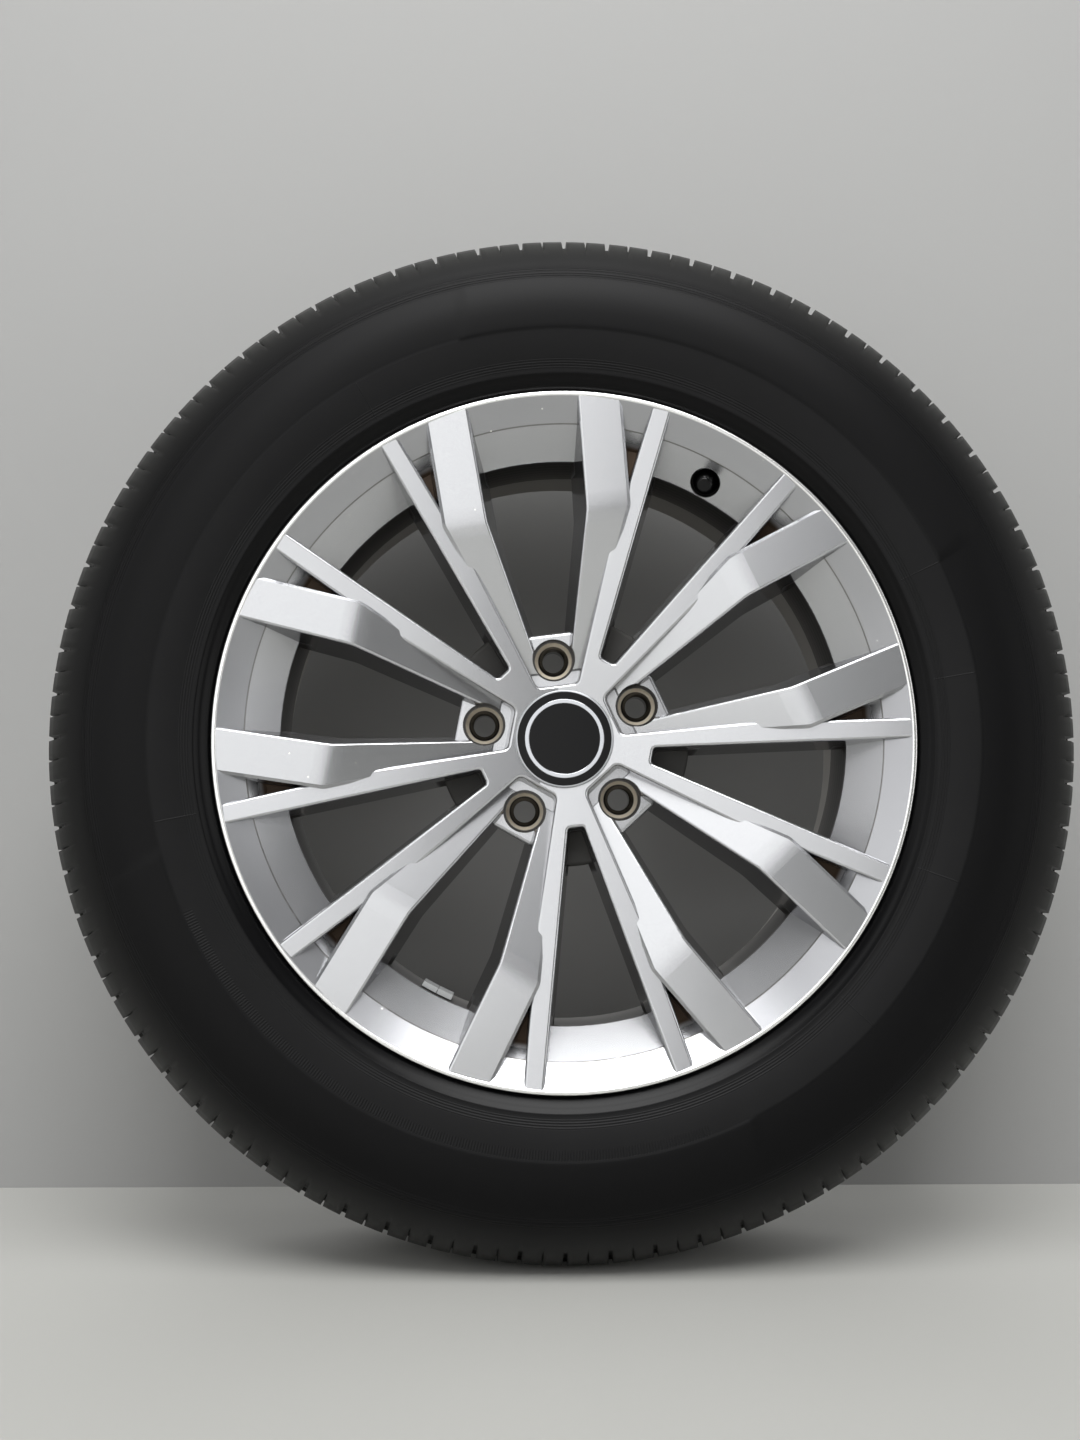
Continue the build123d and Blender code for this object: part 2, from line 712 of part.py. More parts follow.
def valve_core_pin():
    pin_r = pin_diameter / 2
    stem = rod(pin_r, seal_low - pin_collar_length, tube_end - pin_recess)
    foot = rod(seal_diameter / 2, seal_low - pin_collar_length, seal_low - fit_gap)
    return stem + foot + rod(pin_collar / 2, collar_low, collar_low + pin_collar_length)


def valve_core_seal():
    return tube(seal_diameter / 2, pin_diameter / 2 + fit_gap, seal_low, seal_low + seal_thickness)


def valve_core_spring():
    low = barrel_low + core_floor + spring_wire_diameter
    height = collar_low - low - spring_wire_diameter
    coil_r = (spring_diameter - spring_wire_diameter) / 2
    path = Helix(pitch=height / spring_turns, height=height, radius=coil_r)
    wire = Plane(origin=path @ 0, z_dir=path % 0) * Circle(spring_wire_diameter / 2)
    return Pos(0, 0, low) * sweep(wire, path)


def valve_cap():
    low = stem_length + valve_cap_gap
    roof = cap_seal_top + running_gap
    inner = thread_diameter / 2 + running_gap
    outer = inner + valve_cap_wall
    body = rod(outer, low, roof + valve_cap_roof)
    body = fillet(body.faces().sort_by(Axis.Z)[-1].edges(), valve_cap_round)
    body -= rod(inner, low, roof)
    flute_r = flute_diameter / 2
    flute = Pos(outer + flute_r - flute_sink, 0, 0) * rod(flute_r, low, roof)
    return body.cut(*around(flute, valve_cap_flutes))


def valve_cap_seal():
    return rod(thread_diameter / 2 - running_gap, tube_end + running_gap, cap_seal_top)


def weight_strip(outer, thickness, start, length):
    # a curved strip inside the barrel, start and length along its outer face
    turn = degrees(start / throat_r)
    arc = degrees(length / throat_r)
    front = throat_z - weight_setback
    profile = Pos(outer - thickness / 2, front - weight_width / 2) * Rectangle(thickness, weight_width)
    return Rot(0, 0, turn) * revolve(Plane.XZ * profile, axis=Axis.Z, revolution_arc=arc)


def balance_weight(number):
    outer = throat_r - tape_thickness - 2 * fit_gap
    start = number * (weight_length + weight_split) - strip_length / 2
    return Rot(0, 0, weight_angle) * weight_strip(outer, weight_thickness, start, weight_length)


def weight_tape():
    tape = weight_strip(throat_r - fit_gap, tape_thickness, -strip_length / 2, strip_length)
    return Rot(0, 0, weight_angle) * tape


pieces = {
    "alloy_wheel": alloy_wheel(),
    "tyre": tyre(),
    "centre_cap": centre_cap(),
    "cap_spring_ring": cap_spring_ring(),
    "cap_face_disc": cap_face_disc(),
    "cap_chrome_ring": cap_chrome_ring(),
    "weight_tape": weight_tape(),
}
for k in range(weight_count):
    pieces[f"balance_weight_{k + 1}"] = balance_weight(k)
valve_pieces = {
    "valve_stem": valve_stem(),
    "valve_tube": valve_tube(),
    "valve_core_plug": valve_core_plug(),
    "valve_core_barrel": valve_core_barrel(),
    "valve_core_gasket": valve_core_gasket(),
    "valve_core_pin": valve_core_pin(),
    "valve_core_seal": valve_core_seal(),
    "valve_core_spring": valve_core_spring(),
    "valve_cap": valve_cap(),
    "valve_cap_seal": valve_cap_seal(),
}
for name, piece in valve_pieces.items():
    pieces[name] = valve_plane() * piece

os.makedirs("parts", exist_ok=True)
for name, piece in pieces.items():
    export_step(stand_up(piece), f"parts/{name}.step")
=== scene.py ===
import json
from math import pi

import bpy
import numpy as np
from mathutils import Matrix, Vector


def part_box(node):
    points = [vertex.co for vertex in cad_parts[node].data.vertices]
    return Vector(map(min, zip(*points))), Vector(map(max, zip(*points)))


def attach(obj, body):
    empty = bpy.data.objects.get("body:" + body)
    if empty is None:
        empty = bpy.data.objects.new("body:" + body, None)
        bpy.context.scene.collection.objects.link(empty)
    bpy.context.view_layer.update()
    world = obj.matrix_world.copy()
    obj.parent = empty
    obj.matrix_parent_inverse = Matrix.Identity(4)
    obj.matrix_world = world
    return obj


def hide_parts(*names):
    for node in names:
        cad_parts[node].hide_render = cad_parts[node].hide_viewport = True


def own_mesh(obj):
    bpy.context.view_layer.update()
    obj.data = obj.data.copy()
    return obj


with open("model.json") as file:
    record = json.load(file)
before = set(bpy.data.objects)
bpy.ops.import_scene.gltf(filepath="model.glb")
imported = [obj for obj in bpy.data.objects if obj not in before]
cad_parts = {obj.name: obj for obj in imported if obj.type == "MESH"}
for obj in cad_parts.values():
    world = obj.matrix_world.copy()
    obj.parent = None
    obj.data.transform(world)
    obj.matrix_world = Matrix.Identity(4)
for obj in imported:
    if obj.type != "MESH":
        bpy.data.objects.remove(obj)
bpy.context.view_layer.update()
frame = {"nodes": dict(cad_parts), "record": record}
mm = 0.001
print("frame loaded:", len(frame["nodes"]), "nodes")


def toLinear(hexText):
    # sRGB hex to linear RGBA
    code = hexText.lstrip("#")
    srgb = np.array([int(code[k:k + 2], 16) for k in (0, 2, 4)]) / 255
    linear = np.where(srgb <= 0.04045, srgb / 12.92, ((srgb + 0.055) / 1.055) ** 2.4)
    return (*linear.tolist(), 1.0)


def addNode(tree, kind, links=None, **settings):
    # one node with its settings; links holds sockets to join, or plain values, by input
    node = tree.nodes.new(kind)
    for name, value in settings.items():
        setattr(node, name, value)
    for key, value in (links or {}).items():
        if isinstance(value, bpy.types.NodeSocket):
            tree.links.new(value, node.inputs[key])
        else:
            node.inputs[key].default_value = value
    return node


def startMaterial(name, surface):
    # a Principled surface with its plain values set on its own sockets
    material = bpy.data.materials.new(name)
    material.use_nodes = True
    tree = material.node_tree
    shader = tree.nodes["Principled BSDF"]
    for key, value in surface.items():
        shader.inputs[key].default_value = value
    return material, tree, shader


def smooth(low, high, value):
    # 0 below low, 1 above high, an S-curve between
    t = np.clip((value - low) / (high - low), 0.0, 1.0)
    return t * t * (3.0 - 2.0 * t)


def gridObject(name, points, closedAcross=True):
    # rows run round the wheel and close on themselves, columns run along the profile
    rows, columns = points.shape[:2]
    index = np.arange(rows * columns).reshape(rows, columns)
    nextRow = np.roll(index, -1, axis=0)
    if closedAcross:
        a, b = index, nextRow
        c, d = np.roll(nextRow, -1, axis=1), np.roll(index, -1, axis=1)
    else:
        a, b = index[:, :-1], nextRow[:, :-1]
        c, d = nextRow[:, 1:], index[:, 1:]
    faces = np.stack([a, b, c, d], axis=-1).reshape(-1, 4)
    mesh = bpy.data.meshes.new(name)
    mesh.vertices.add(rows * columns)
    mesh.vertices.foreach_set("co", points.reshape(-1))
    mesh.loops.add(faces.size)
    mesh.loops.foreach_set("vertex_index", faces.reshape(-1))
    mesh.polygons.add(len(faces))
    mesh.polygons.foreach_set("loop_start", np.arange(0, faces.size, 4))
    mesh.update(calc_edges=True)
    mesh.shade_smooth()
    piece = bpy.data.objects.new(name, mesh)
    bpy.context.scene.collection.objects.link(piece)
    return piece


# Tyre. Sizes in mm; r is the distance from the axle, w the distance outboard of the middle plane
tyreLow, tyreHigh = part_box("tyre")
rimLow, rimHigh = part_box("alloy_wheel")
tyreSet = {
    "crown": tyreHigh.x / mm, "widest": tyreHigh.y / mm,
    "flange": rimHigh.x / mm + 0.35,                # just clear of the rim's edge
    # bead: its seat, toe and heel, the curl round the rim's flange, and w where the rubber leaves the flange
    "seat": 218.35, "beadHalf": 88.85, "beadToe": 71.9, "toeDrop": 1.5, "heel": (5.0, 4.0),
    "curl": 9.55, "curlSteps": 5, "hugEnd": 99.2, "beadHeight": 20.0,
    # side wall: r where it is widest, then r and w where it ends
    "bulge": 290.0, "shoulder": (344.0, 87.0), "wallSteps": 16,
    # tread: its half width, its fall at the edges, the height of r that it lies in, and its grooves' places
    "treadHalf": 72.0, "treadDrop": 4.1, "treadBand": 9.0, "treadPoint": 64.0, "edgeSteps": 4,
    "grooves": (15.5, 46.5), "grooveWidth": 9.0, "grooveDepth": 7.5, "grooveBevel": 0.8,
    # shoulder slots and sipes: half widths, and points beside their walls, are shares of one pitch
    "pitches": 72, "wallInside": 0.004, "blockPoints": ((0.2, 0.35), (0.65, 0.8)),
    "slotHalf": 0.045, "slotOutside": 0.012, "slotDepth": 5.0,
    "slotStart": 57.0, "slotBevel": 0.6, "slotFade": (339.0, 346.0),
    "sipeHalf": 0.016, "sipeOutside": 0.01, "sipeDepth": 3.5, "sipeEnd": 341.0,
    # liner: how far it lies below the tread's edge, then its points down to the bead
    "linerDepth": 16.5, "linerRadii": (318.0, 252.0, 236.0), "linerHalf": (66.0, 98.0, 105.0, 92.0, 78.0),
    # sunk panels: degrees round the wheel, from +X towards +Z
    "panels": ((-64.0, 25.2), (105.0, 196.0)), "panelRadii": (276.0, 312.0), "panelSink": 0.6,
    "panelSlant": 0.062, "panelEdge": 0.8, "panelEnd": 0.25, "rearPanel": 0.8,
    # raised ribs as radius, half width and height, and a low step
    "ribs": ((247.0, 0.9, 0.7), (316.0, 1.0, 0.5)), "linePoints": (-1.4, -0.5, 0.5, 1.4),
    "stepLine": 276.0, "stepHeight": 0.45, "stepSoft": 1.0, "stepFade": (330.0, 343.0),
}


def sideWidth(r, s):
    # two arcs that meet at the bulge: w = widest - R + sqrt(R^2 - (r - bulge)^2)
    endR, endW = s["shoulder"]
    above = ((endR - s["bulge"]) ** 2 + (s["widest"] - endW) ** 2) / (2 * (s["widest"] - endW))
    drop = s["widest"] - s["hugEnd"]
    below = ((s["bulge"] - s["flange"]) ** 2 + drop ** 2) / (2 * drop)
    radius = np.where(r > s["bulge"], above, below)
    return s["widest"] - radius + np.sqrt(radius ** 2 - (r - s["bulge"]) ** 2)


def tyreProfile(s):
    # half of the section from the bead's toe to the crown, then its mirror image and the liner
    heelRise, heelRun = s["heel"]
    beadR = [s["seat"] - s["toeDrop"], s["seat"], s["seat"] + heelRise]
    beadW = [s["beadToe"], s["beadHalf"] - heelRun, s["beadHalf"]]
    turn = np.linspace(0.0, pi / 2, s["curlSteps"])
    curlR = s["flange"] - s["curl"] + s["curl"] * np.sin(turn)
    curlW = s["beadHalf"] + s["curl"] * (1.0 - np.cos(turn))
    shoulderR, shoulderW = s["shoulder"]
    marks = [s["stepLine"]] + [rib[0] for rib in s["ribs"]]
    nearMarks = [np.array(s["linePoints"]) + mark for mark in marks]
    radii = np.concatenate([np.linspace(s["flange"], shoulderR, s["wallSteps"])] + nearMarks)
    radii = np.unique(np.round(radii, 2))
    edgeR = s["crown"] - s["treadDrop"]
    lineR = np.linspace(shoulderR, edgeR, s["edgeSteps"])[1:-1]
    lineW = np.linspace(shoulderW, s["treadHalf"], s["edgeSteps"])[1:-1]
    half, bevel = s["grooveWidth"] / 2, s["grooveBevel"]
    treadW = [s["treadHalf"], s["treadPoint"]]
    treadW += [s["slotStart"] + s["slotBevel"], s["slotStart"] - s["slotBevel"]]
    for place in s["grooves"]:
        treadW += [place + half, place + half - bevel, place - half + bevel, place - half]
    treadW = np.array(sorted(set(treadW), reverse=True) + [0.0])
    treadR = s["crown"] - s["treadDrop"] * (treadW / s["treadHalf"]) ** 2
    r = np.concatenate([beadR, curlR, radii[1:], lineR, treadR])
    w = np.concatenate([beadW, curlW, sideWidth(radii[1:], s), lineW, treadW])
    linerR = np.array([edgeR - s["linerDepth"], s["linerRadii"][0], s["bulge"], *s["linerRadii"][1:]])
    linerW = -np.array(s["linerHalf"])
    allR = np.concatenate([r, r[-2::-1], linerR[::-1], linerR])
    allW = np.concatenate([w, -w[-2::-1], linerW[::-1], -linerW])
    return allR, allW


def tyrePoints(s):
    # every profile point is carried round the axle, then pushed in along the profile's normal
    r, w = tyreProfile(s)
    dr = np.roll(r, -1) - np.roll(r, 1)
    dw = np.roll(w, -1) - np.roll(w, 1)
    length = np.hypot(dr, dw)
    normalR, normalW = -dw / length, dr / length
    # one pitch round the tread has a slot at its start and a sipe in its middle
    slot, sipe, inside = s["slotHalf"], s["sipeHalf"], s["wallInside"]
    slotOut, sipeOut = slot + s["slotOutside"], sipe + s["sipeOutside"]
    phase = np.array([
        -slotOut, -slot + inside, slot - inside, slotOut, *s["blockPoints"][0],
        0.5 - sipeOut, 0.5 - sipe + inside, 0.5 + sipe - inside, 0.5 + sipeOut, *s["blockPoints"][1],
    ])
    pitch = 2 * pi / s["pitches"]
    theta = ((np.arange(s["pitches"])[:, None] + phase) * pitch).reshape(-1)
    fold = np.abs((theta / pitch + 0.5) % 1.0 - 0.5)
    inSlot = (fold < slot)[:, None]
    inSipe = (np.abs(fold - 0.5) < sipe)[:, None]
    # how deep each profile point goes in a slot, a sipe or a groove
    offMiddle = np.abs(w)
    outer = r > s["seat"] + s["beadHeight"]
    crown = r > s["crown"] - s["treadBand"]
    side = outer & (offMiddle > s["treadHalf"])
    beyond = outer & (offMiddle > s["slotStart"])
    slotSink = s["slotDepth"] * smooth(*s["slotFade"], r) * beyond
    blocks = crown & (offMiddle < s["slotStart"]) & (offMiddle > s["grooves"][0])
    sipeSink = s["sipeDepth"] * (blocks | (beyond & (r > s["sipeEnd"])))
    sink = np.maximum(inSlot * slotSink, inSipe * sipeSink)
    for place in s["grooves"]:
        inGroove = crown & (np.abs(offMiddle - place) < (s["grooveWidth"] - s["grooveBevel"]) / 2)
        sink = np.maximum(sink, s["grooveDepth"] * inGroove)
    # side wall: two ribs, a low step, and sunk panels with slanted ends
    degree = (np.degrees(theta) % 360.0)[:, None]
    (low, high), edge = s["panelRadii"], s["panelEdge"]
    band = smooth(low - edge, low + edge, r) * (1.0 - smooth(high - edge, high + edge, r))
    panel = np.zeros((len(theta), len(r)))
    for start, end in s["panels"]:
        middle, halfArc = (start + end) / 2, (end - start) / 2
        away = np.abs((degree - middle + 180.0) % 360.0 - 180.0)
        limit = halfArc + s["panelSlant"] * (r - low)
        panel = np.maximum(panel, 1.0 - smooth(-s["panelEnd"], s["panelEnd"], away - limit))
    panel = panel * (band * side)
    raised = sum(height * np.exp(-((r - line) / width) ** 2) for line, width, height in s["ribs"])
    step = s["stepHeight"] * smooth(s["stepLine"] - s["stepSoft"], s["stepLine"] + s["stepSoft"], r)
    raised = raised + step * (1.0 - smooth(*s["stepFade"], r))
    sink = sink + panel * s["panelSink"] - raised * side
    finalR, finalW = r - sink * normalR, w - sink * normalW
    x, z = finalR * np.cos(theta)[:, None], finalR * np.sin(theta)[:, None]
    points = np.stack([x, -finalW, z], axis=-1) * mm
    return points, panel * np.where(w > 0, 1.0, s["rearPanel"])


points, panelShade = tyrePoints(tyreSet)
tyre = gridObject("tyre_moulding", points)
tyre.data.attributes.new("panel", "FLOAT", "POINT").data.foreach_set("value", panelShade.reshape(-1))
print("tyre:", len(tyre.data.polygons), "faces")
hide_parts("tyre")
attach(tyre, "wheel")


# The lip's edge, painted near white as a highlight by the silver material: its flat front and rounded outer
# corner, laid finely over the casting's own edge
lipSet = {"over": 0.03, "round": 1.3, "inner": 234.0, "down": 2.2, "steps": 480, "cornerSteps": 9}


def lipEdge(s):
    # a quarter circle between the flat front and the outer side, carried round the axle
    front, outer = s["over"] - rimLow.y / mm, s["over"] + rimHigh.x / mm
    turn = np.linspace(0.0, pi / 2, s["cornerSteps"])
    r = np.concatenate([[s["inner"]], outer - s["round"] * (1 - np.sin(turn)), [outer]])
    w = np.concatenate([[front], front - s["round"] * (1 - np.cos(turn)), [front - s["down"]]])
    theta = np.arange(s["steps"]) * 2 * pi / s["steps"]
    x, z = np.cos(theta)[:, None] * r, np.sin(theta)[:, None] * r
    return np.stack([x, np.broadcast_to(-w, x.shape), z], axis=-1) * mm


lip = gridObject("lip_edge", lipEdge(lipSet), closedAcross=False)
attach(lip, "wheel")
print("lip edge:", len(lip.data.polygons), "faces")


# The valve's spring, copied into a piece of its own; the real spring shortens along the valve's axis as the
# pin is pressed
spring = bpy.data.objects.new("valve_spring_coil", frame["nodes"]["valve_core_spring"].data.copy())
bpy.context.scene.collection.objects.link(spring)
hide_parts("valve_core_spring")
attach(spring, "wheel")
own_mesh(spring)


# Materials
def axleFrame(tree):
    # the place in Object coordinates, the distance from the axle, the angle round it and the place along it
    place = addNode(tree, "ShaderNodeTexCoord").outputs["Object"]
    flat = addNode(tree, "ShaderNodeVectorMath", {0: place, 1: (1, 0, 1)}, operation="MULTIPLY").outputs[0]
    radius = addNode(tree, "ShaderNodeVectorMath", {0: flat}, operation="LENGTH").outputs["Value"]
    split = addNode(tree, "ShaderNodeSeparateXYZ", {0: place}).outputs
    angle = addNode(tree, "ShaderNodeMath", {0: split["Z"], 1: split["X"]}, operation="ARCTAN2").outputs[0]
    return place, radius, angle, split["Y"]


def between(tree, value, low, high, soft, unit=mm):
    # 1 where the value lies between low and high, with soft ends
    rise = addNode(tree, "ShaderNodeMapRange", {
        "Value": value, "From Min": (low - soft) * unit, "From Max": (low + soft) * unit,
    }, interpolation_type="SMOOTHSTEP").outputs[0]
    fall = addNode(tree, "ShaderNodeMapRange", {
        "Value": value, "From Min": (high - soft) * unit, "From Max": (high + soft) * unit,
        "To Min": 1.0, "To Max": 0.0,
    }, interpolation_type="SMOOTHSTEP").outputs[0]
    return addNode(tree, "ShaderNodeMath", {0: rise, 1: fall}, operation="MULTIPLY").outputs[0]


def layer(tree, under, over, *masks):
    # the colour over laid on the colour under where every mask is 1; gives the colour and the joint mask
    joint = masks[0]
    for mask in masks[1:]:
        joint = addNode(tree, "ShaderNodeMath", {0: joint, 1: mask}, operation="MULTIPLY").outputs[0]
    mixed = addNode(tree, "ShaderNodeMix", {0: joint, 6: under, 7: over}, data_type="RGBA")
    return mixed.outputs[2], joint


wheelSet = {
    "paint": ("#BFC0C3", "#CDCED0"), "flake": 0.9, "flakeBump": 0.04, "bumpHeight": 0.1,
    "clearCoat": {"Coat Roughness": 0.08, "Coat IOR": 1.5},
    "cleanToDirty": {"Metallic": (0.9, 0.05), "Roughness": (0.26, 0.75), "Coat Weight": (0.6, 0.0)},
    "halfDull": 0.6,                # how dirty the backs and the bolt seats are
    "bolts": 5, "boltCircle": 56.0, "boltTurn": 97.2,
    # the barrel's dark tones are brake dust with painted shade
    "barrelDustShadeTones": ("#12110F", "#2E2B28"), "streak": 7.0, "speck": 0.6, "speckSpacing": 17.0,
    # each coat's colour and where it lies, as low, high and the softness of these ends: mm from the axle,
    # mm along it, facing from -1 outboard to 1 inboard, radians from the nearest bolt, mm from its axis
    "coats": {
        # painted shade: the walls that face sideways between the hub and the rim, painted a darker grey
        "sideShade": {"colour": "#5A5A5E", "facing": (-0.3, 2.0, 0.2),
                     "radius": (40.0, 224.0, 2.0), "depth": (-99.0, -30.0, 1.0)},
        # painted shade: the deep floors at the roots of the spokes painted dark
        "rootShade": {"colour": "#3A3937", "turn": (0.40, 1.0, 0.04),
                     "radius": (50.0, 92.0, 2.0), "depth": (-69.6, -41.0, 2.0)},
        "backDust": {"colour": "#8E8C88", "facing": (0.3, 2.0, 0.2), "depth": (-66.0, 120.0, 1.0)},
        # painted shade: the lip's outer cone painted a shade darker than the paint
        "cone": {"colour": "#ACADB0", "facing": (-0.93, -0.5, 0.02),
                 "depth": (-120.0, -80.0, 0.4), "radius": (215.5, 232.6, 0.3)},
        # painted shade: a dark line painted along the crease between the lip's two cones
        "crease": {"colour": "#7E7D7B", "facing": (-0.93, -0.5, 0.02),
                   "depth": (-98.0, -88.0, 0.5), "radius": (215.05, 215.85, 0.2)},
        # painted highlight: the lip's edge painted near white
        "lip": {"colour": "#FAFAF9", "radius": (232.6, 400.0, 0.2), "depth": (-200.0, -96.0, 0.5)},
        "barrelRear": {"colour": "#A5A29D", "depth": (0.0, 300.0, 60.0)},
        "barrel": {"radius": (188.0, 400.0, 3.0), "depth": (-69.0, 97.0, 1.2)},
        "hubFace": {"colour": "#BDB9B1", "depth": (-40.3, 0.0, 0.2), "radius": (0.0, 79.0, 0.5)},
        "boltRing": {"colour": "#2A2723", "bolt": (-10.0, 14.9, 0.3), "depth": (-63.6, -40.5, 0.4)},
        # bare machined seats, their pale colour partly a painted reflection
        "boltSeat": {"colour": "#E2D8C6", "bolt": (10.6, 12.9, 0.3), "depth": (-63.6, -40.5, 0.4)},
        "slotStain": {"colour": "#4B3B2C", "turn": (0.2716, 0.3916, 0.01),
                      "depth": (-83.0, -78.0, 2.0), "radius": (170.0, 219.0, 2.0)},
        "specks": {"colour": "#F4F3EE", "radius": (95.0, 232.0, 2.0), "facing": (-2.0, -0.55, 0.1)},
    },
}
waveSpacing = 0.314          # a wave texture's bands at a scale of 1


def boltFold(tree, radius, angle, s):
    # the turn from the nearest bolt, folded into one sector, and the distance from that bolt's axis
    turned = addNode(tree, "ShaderNodeMath", {
        0: angle, 1: np.radians(s["boltTurn"])}, operation="SUBTRACT").outputs[0]
    half = addNode(tree, "ShaderNodeMath", {0: turned, 1: pi / s["bolts"]}, operation="PINGPONG").outputs[0]
    cosine = addNode(tree, "ShaderNodeMath", {0: half}, operation="COSINE").outputs[0]
    sine = addNode(tree, "ShaderNodeMath", {0: half}, operation="SINE").outputs[0]
    along = addNode(tree, "ShaderNodeMath", {
        0: radius, 1: cosine, 2: -s["boltCircle"] * mm}, operation="MULTIPLY_ADD").outputs[0]
    across = addNode(tree, "ShaderNodeMath", {0: radius, 1: sine}, operation="MULTIPLY").outputs[0]
    offBolt = addNode(tree, "ShaderNodeCombineXYZ", {"X": along, "Y": across}).outputs[0]
    return half, addNode(tree, "ShaderNodeVectorMath", {0: offBolt}, operation="LENGTH").outputs["Value"]


def silverLacquer(s):
    # cast aluminium under silver metallic lacquer and clear coat: a grainy sheen below a crisp highlight.
    # Painted shade darkens the side walls, the root floors, the lip's outer cone and the crease beside it,
    # and a painted highlight whitens the lip's edge; the barrel is dark with brake dust and painted shade,
    # the bolt seats are stained bare metal whose pale seat rings are partly painted reflection, the slots end
    # in a brown stain, and the face that meets the hub is bare turned metal
    material, tree, shader = startMaterial("silver_lacquer", s["clearCoat"])
    place, radius, angle, depth = axleFrame(tree)
    turn, boltAway = boltFold(tree, radius, angle, s)
    normal = addNode(tree, "ShaderNodeTexCoord").outputs["Normal"]
    facing = addNode(tree, "ShaderNodeSeparateXYZ", {0: normal}).outputs["Y"]
    measures = {"radius": (radius, mm), "depth": (depth, mm), "facing": (facing, 1.0),
                "turn": (turn, 1.0), "bolt": (boltAway, mm)}

    def coat(under, name, *extraMasks, over=None):
        # one coat laid on the colour under it, where all of its ranges hold
        ranges = s["coats"][name]
        masks = [between(tree, value, *ranges[key], unit)
                 for key, (value, unit) in measures.items() if key in ranges]
        if over is None:
            over = toLinear(ranges["colour"])
        return layer(tree, under, over, *masks, *extraMasks)

    flake = addNode(tree, "ShaderNodeTexNoise", {
        "Vector": place, "Scale": 1 / (s["flake"] * mm), "Detail": 1.0}).outputs["Fac"]
    paint, _ = layer(tree, toLinear(s["paint"][0]), toLinear(s["paint"][1]), flake)
    # painted shade on the side walls
    paint, _ = coat(paint, "sideShade")
    # painted shade on the root floors
    paint, rootShade = coat(paint, "rootShade")
    paint, backDust = coat(paint, "backDust")
    # painted shade on the lip's outer cone
    paint, _ = coat(paint, "cone")
    # painted shade along the crease
    paint, _ = coat(paint, "crease")
    # painted highlight on the lip's edge
    paint, _ = coat(paint, "lip")
    # the barrel: dark brake dust with painted shade, in streaks, lighter towards the back
    streak = addNode(tree, "ShaderNodeTexWave", {
        "Vector": place, "Scale": waveSpacing / (s["streak"] * mm),
        "Distortion": 0.6, "Detail": 2.0, "Detail Scale": 3.0,
    }, bands_direction="Y").outputs["Fac"]
    dust, _ = layer(tree, toLinear(s["barrelDustShadeTones"][0]), toLinear(s["barrelDustShadeTones"][1]), streak)
    dust, _ = coat(dust, "barrelRear")
    paint, barrel = coat(paint, "barrel", over=dust)
    paint, _ = coat(paint, "hubFace")
    paint, _ = coat(paint, "boltRing")
    # the bolt seats, painted pale partly as a painted reflection
    paint, boltSeat = coat(paint, "boltSeat")
    paint, stain = coat(paint, "slotStain")
    cells = addNode(tree, "ShaderNodeTexVoronoi", {
        "Vector": place, "Scale": 1 / (s["speckSpacing"] * mm)}).outputs
    small = addNode(tree, "ShaderNodeMath", {
        0: cells["Distance"], 1: s["speck"] / s["speckSpacing"]}, operation="LESS_THAN").outputs[0]
    paint, _ = coat(paint, "specks", small)
    tree.links.new(paint, shader.inputs["Base Color"])
    # where dust, bare metal or the root floors painted with shade take the place of the clear coat
    dusty = addNode(tree, "ShaderNodeMath", {0: barrel, 1: stain}, operation="MAXIMUM").outputs[0]
    dusty = addNode(tree, "ShaderNodeMath", {0: dusty, 1: rootShade}, operation="MAXIMUM").outputs[0]
    soiled = addNode(tree, "ShaderNodeMath", {0: backDust, 1: boltSeat}, operation="MAXIMUM").outputs[0]
    soiled = addNode(tree, "ShaderNodeMath", {0: soiled, 1: s["halfDull"]}, operation="MULTIPLY").outputs[0]
    dull = addNode(tree, "ShaderNodeMath", {0: dusty, 1: soiled}, operation="MAXIMUM").outputs[0]
    for socket, (clean, dirty) in s["cleanToDirty"].items():
        share = addNode(tree, "ShaderNodeMapRange", {"Value": dull, "To Min": clean, "To Max": dirty})
        tree.links.new(share.outputs[0], shader.inputs[socket])
    bump = addNode(tree, "ShaderNodeBump", {
        "Height": flake, "Strength": s["flakeBump"], "Distance": s["bumpHeight"] * mm})
    tree.links.new(bump.outputs[0], shader.inputs["Normal"])
    return material


rubberSet = {
    # radius in mm where each tone starts, from the rim to the crown
    "tones": ((236.0, "#020203"), (246.5, "#030304"), (248.5, "#111112"), (274.0, "#101011"),
              (277.0, "#030304"), (316.0, "#040405"), (330.0, "#1A1A1A"), (345.0, "#282827"),
              (356.0, "#242423")),
    "panel": "#020203",
    # the tones are multiplied by a cloud between these two
    "dust": ((0.75, 0.75, 0.75, 1.0), (1.3, 1.3, 1.28, 1.0)), "cloud": 45.0,
    "specular": 0.16, "roughness": (0.48, 0.28), "glossRadii": (225.0, 247.0, 1.0),
    # relief too fine for the mesh: heights are shares of bumpHeight
    "bump": 0.5, "bumpHeight": 0.2, "grain": 1.2, "grainHeight": 0.25,
    "ringPitch": 1.7, "ringBands": ((250.0, 256.0, 0.5), (311.5, 319.0, 0.5)),
    "knurl": {"radii": (269.0, 275.0, 0.4), "turns": (-155.0, -70.0, 0.3), "count": 900},
    "mouldLine": {"turns": (120.7, -168.0, 25.0, 8.8, -20.5, -43.5), "half": 0.35,
                  "radii": (249.0, 275.0, 0.5), "middle": 260.0, "height": 1.5},
}


